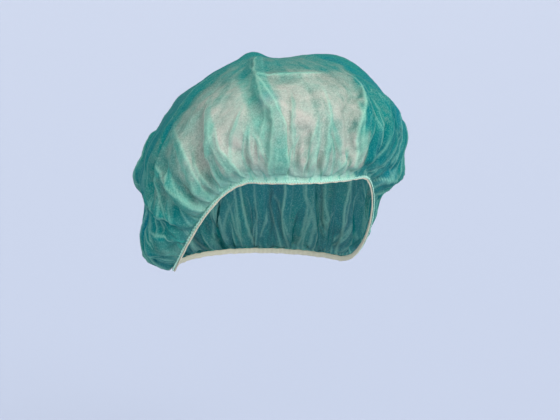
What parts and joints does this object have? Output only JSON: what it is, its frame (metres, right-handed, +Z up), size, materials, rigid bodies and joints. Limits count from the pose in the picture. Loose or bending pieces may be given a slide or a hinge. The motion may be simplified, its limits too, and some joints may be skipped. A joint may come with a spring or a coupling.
{
  "type": "bouffant cap",
  "caption": "Gathered bouffant cap of thin non-woven cloth, in the shape it takes on a head, with an elastic round the head opening.",
  "frame": {"origin": "middle of the head opening, about half way in height between the rim at the forehead and at the nape", "axes": "-Y the way the wearer faces, +X the wearer's left, +Z up with the head level"},
  "size_m": [0.203, 0.2367, 0.1688],
  "materials": {
    "cloth": "matt non-woven, half see-through",
    "elastic": "matt covered elastic"
  },
  "bodies": {
    "root": {"crown": "cloth", "elastic_band": "elastic"}
  },
  "joints": []
}
